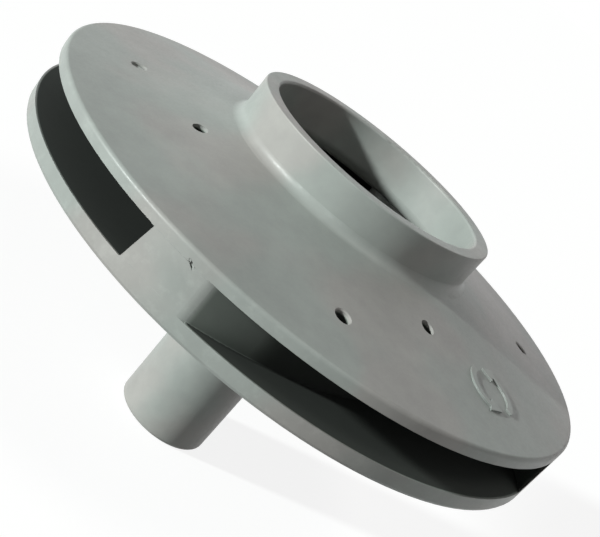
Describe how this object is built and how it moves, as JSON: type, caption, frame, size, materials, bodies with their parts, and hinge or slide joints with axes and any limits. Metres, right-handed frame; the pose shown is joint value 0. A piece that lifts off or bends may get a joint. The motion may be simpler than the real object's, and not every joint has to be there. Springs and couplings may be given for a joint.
{
  "type": "pump impeller",
  "caption": "Closed centrifugal pump impeller with a suction neck, backward-swept vanes between two shrouds and a long rear hub.",
  "frame": {"origin": "centre of the hub's end face, on the axis of rotation", "axes": "+Z along the axis towards the suction eye; +X and +Y in the plane of the wheel"},
  "size_m": [0.14, 0.14, 0.0817],
  "materials": {
    "body_grey": "satin moulded grey",
    "shroud_grey": "satin moulded grey"
  },
  "bodies": {
    "root": {"impeller_body": "body_grey", "front_shroud": "shroud_grey"}
  },
  "joints": []
}
